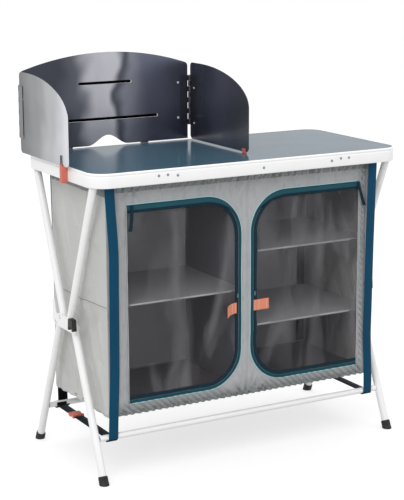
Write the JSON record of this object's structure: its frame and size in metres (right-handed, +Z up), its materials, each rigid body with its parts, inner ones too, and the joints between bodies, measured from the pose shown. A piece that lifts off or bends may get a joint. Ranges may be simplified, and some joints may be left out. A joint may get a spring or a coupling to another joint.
{
  "type": "camp kitchen unit",
  "caption": "Folding camp kitchen: rimmed worktop with a fold-in windscreen on a crossed leg frame that carries a fabric cupboard with mesh doors.",
  "frame": {"origin": "on the ground under the middle of the worktop", "axes": "+Z up, +X to the right along the worktop as seen from the front, +Y to the back, so the doors face -Y"},
  "size_m": [0.9439, 0.4384, 1.0556],
  "materials": {
    "board_laminate": "dark teal-grey laminate, glossy",
    "white_aluminium": "white powder coat, satin",
    "white_steel": "white powder coat, satin",
    "dark_steel": "dark grey metallic coat, satin",
    "bare_metal": "plain metal",
    "black_plastic": "moulded, matt",
    "coral_plastic": "moulded, satin",
    "grey_fabric": "light grey coated polyester",
    "grey_board": "grey polyester over a stiff board",
    "black_mesh": "fine black mesh with a teal bound edge",
    "coral_webbing": "coral webbing",
    "blue_webbing": "petrol blue webbing",
    "navy_webbing": "dark navy webbing"
  },
  "bodies": {
    "knees_and_cupboard": {"knee_plate_left": "white_steel", "knee_plate_right": "white_steel", "knee_cover_left": "black_plastic", "knee_cover_right": "black_plastic", "cupboard_side_left": "grey_fabric", "cupboard_side_right": "grey_fabric", "cupboard_floor": "grey_board", "cupboard_divider": "grey_fabric", "shelf_left": "grey_board", "shelf_right_upper": "grey_board", "shelf_right_lower": "grey_board", "front_strap_left": "blue_webbing", "front_strap_right": "blue_webbing", "rear_strap_left": "blue_webbing", "rear_strap_right": "blue_webbing", "tie_strap_left": "navy_webbing", "tie_strap_right": "navy_webbing"},
    "front_upper": {"front_upper_tube_left": "white_steel", "front_upper_tube_right": "white_steel", "front_rail": "white_steel"},
    "rear_upper": {"rear_upper_tube_left": "white_steel", "rear_upper_tube_right": "white_steel", "rear_rail": "white_steel"},
    "front_lower": {"front_lower_tube_left": "white_steel", "front_lower_tube_right": "white_steel", "front_stretcher": "white_steel", "front_foot_cap_left": "black_plastic", "front_foot_cap_right": "black_plastic"},
    "rear_lower": {"rear_lower_tube_left": "white_steel", "rear_lower_tube_right": "white_steel", "rear_stretcher": "white_steel", "rear_foot_cap_left": "black_plastic", "rear_foot_cap_right": "black_plastic"},
    "worktop": {"top_board": "board_laminate", "rim_frame": "white_aluminium", "brace_left": "white_aluminium", "brace_centre": "white_aluminium", "brace_right": "white_aluminium", "windscreen_back": "dark_steel", "hinge_leaf_back_left": "dark_steel", "hinge_leaf_back_right": "dark_steel", "hinge_pin_left": "bare_metal", "hinge_pin_right": "bare_metal", "rim_clip": "coral_plastic"},
    "wing_left": {"windscreen_wing_left": "dark_steel", "hinge_leaf_wing_left": "dark_steel"},
    "wing_right": {"windscreen_wing_right": "dark_steel", "hinge_leaf_wing_right": "dark_steel", "wing_foot_right": "coral_plastic"},
    "clip_hook": {"rim_clip_hook": "black_plastic"},
    "front_panel": {"cupboard_front": "grey_fabric"},
    "back_panel": {"cupboard_back": "grey_fabric"},
    "tie_buckles": {"tie_buckle_left": "coral_plastic", "tie_buckle_right": "coral_plastic"},
    "door_left": {"door_left": "black_mesh"},
    "door_right": {"door_right": "black_mesh"},
    "slider_left": {"zip_slider_left": "bare_metal"},
    "slider_right": {"zip_slider_right": "bare_metal"},
    "pull_left": {"door_pull_left": "coral_webbing"},
    "pull_right": {"door_pull_right": "coral_webbing"}
  },
  "joints": [
    {"name": "frame_fold", "type": "hinge", "parent": "knees_and_cupboard", "child": "front_upper", "pos_m": [0, -0.0186, 0.392], "axis": [-1, 0, 0], "range_deg": [0, 22], "deforming": ["cupboard_side_left", "cupboard_side_right", "cupboard_floor", "cupboard_divider", "shelf_left", "shelf_right_upper", "shelf_right_lower", "front_strap_left", "front_strap_right", "rear_strap_left", "rear_strap_right", "tie_strap_left", "tie_strap_right"]},
    {"name": "rear_upper_fold", "type": "hinge", "parent": "knees_and_cupboard", "child": "rear_upper", "pos_m": [0, 0.0186, 0.392], "axis": [1, 0, 0], "range_deg": [0, 22]},
    {"name": "front_lower_fold", "type": "hinge", "parent": "knees_and_cupboard", "child": "front_lower", "pos_m": [0, -0.044, 0.374], "axis": [1, 0, 0], "range_deg": [0, 22]},
    {"name": "rear_lower_fold", "type": "hinge", "parent": "knees_and_cupboard", "child": "rear_lower", "pos_m": [0, 0.044, 0.374], "axis": [-1, 0, 0], "range_deg": [0, 22]},
    {"name": "worktop_lift", "type": "slide", "parent": "knees_and_cupboard", "child": "worktop", "axis": [0, 0, 1], "range_m": [0, 0.0965]},
    {"name": "front_panel_slide", "type": "slide", "parent": "knees_and_cupboard", "child": "front_panel", "axis": [0, 1, 0], "range_m": [0, 0.147]},
    {"name": "back_panel_slide", "type": "slide", "parent": "knees_and_cupboard", "child": "back_panel", "axis": [0, -1, 0], "range_m": [0, 0.147]},
    {"name": "tie_buckles_slide", "type": "slide", "parent": "knees_and_cupboard", "child": "tie_buckles", "axis": [0, -1, 0], "range_m": [0, 0.036]},
    {"name": "wing_left_fold", "type": "hinge", "parent": "worktop", "child": "wing_left", "pos_m": [-0.4706, 0.2093, 0.911], "axis": [0, 0, 1], "range_deg": [0, 88]},
    {"name": "wing_right_fold", "type": "hinge", "parent": "worktop", "child": "wing_right", "pos_m": [0.039, 0.2093, 0.911], "axis": [0, 0, -1], "range_deg": [0, 84]},
    {"name": "clip_hook_flip", "type": "hinge", "parent": "worktop", "child": "clip_hook", "pos_m": [-0.4743, -0.056, 0.8083], "axis": [0, -1, 0], "range_deg": [0, 90]},
    {"name": "door_left_swing", "type": "hinge", "parent": "front_panel", "child": "door_left", "pos_m": [-0.3475, -0.16682, 0.4575], "axis": [0, 0, -1], "range_deg": [0, 105]},
    {"name": "door_right_swing", "type": "hinge", "parent": "front_panel", "child": "door_right", "pos_m": [0.3475, -0.16682, 0.4575], "axis": [0, 0, 1], "range_deg": [0, 105]},
    {"name": "zip_left_slide", "type": "slide", "parent": "door_left", "child": "slider_left", "axis": [0, 0, 1], "range_m": [-0.13, 0.18]},
    {"name": "zip_right_slide", "type": "slide", "parent": "door_right", "child": "slider_right", "axis": [0, 0, 1], "range_m": [-0.13, 0.18]},
    {"name": "pull_left_flip", "type": "hinge", "parent": "door_left", "child": "pull_left", "pos_m": [-0.0245, -0.16682, 0.403], "axis": [0, 0, 1], "range_deg": [0, 90]},
    {"name": "pull_right_flip", "type": "hinge", "parent": "door_right", "child": "pull_right", "pos_m": [0.0245, -0.16682, 0.403], "axis": [0, 0, -1], "range_deg": [0, 90]}
  ],
  "couplings": [
    {"joint": "rear_upper_fold", "follows": "frame_fold", "ratio": 1},
    {"joint": "front_lower_fold", "follows": "frame_fold", "ratio": 1},
    {"joint": "rear_lower_fold", "follows": "frame_fold", "ratio": 1},
    {"joint": "worktop_lift", "follows": "frame_fold", "m_per_rad": 0.25},
    {"joint": "front_panel_slide", "follows": "frame_fold", "m_per_rad": 0.38},
    {"joint": "back_panel_slide", "follows": "frame_fold", "m_per_rad": 0.38},
    {"joint": "tie_buckles_slide", "follows": "frame_fold", "m_per_rad": 0.09}
  ]
}
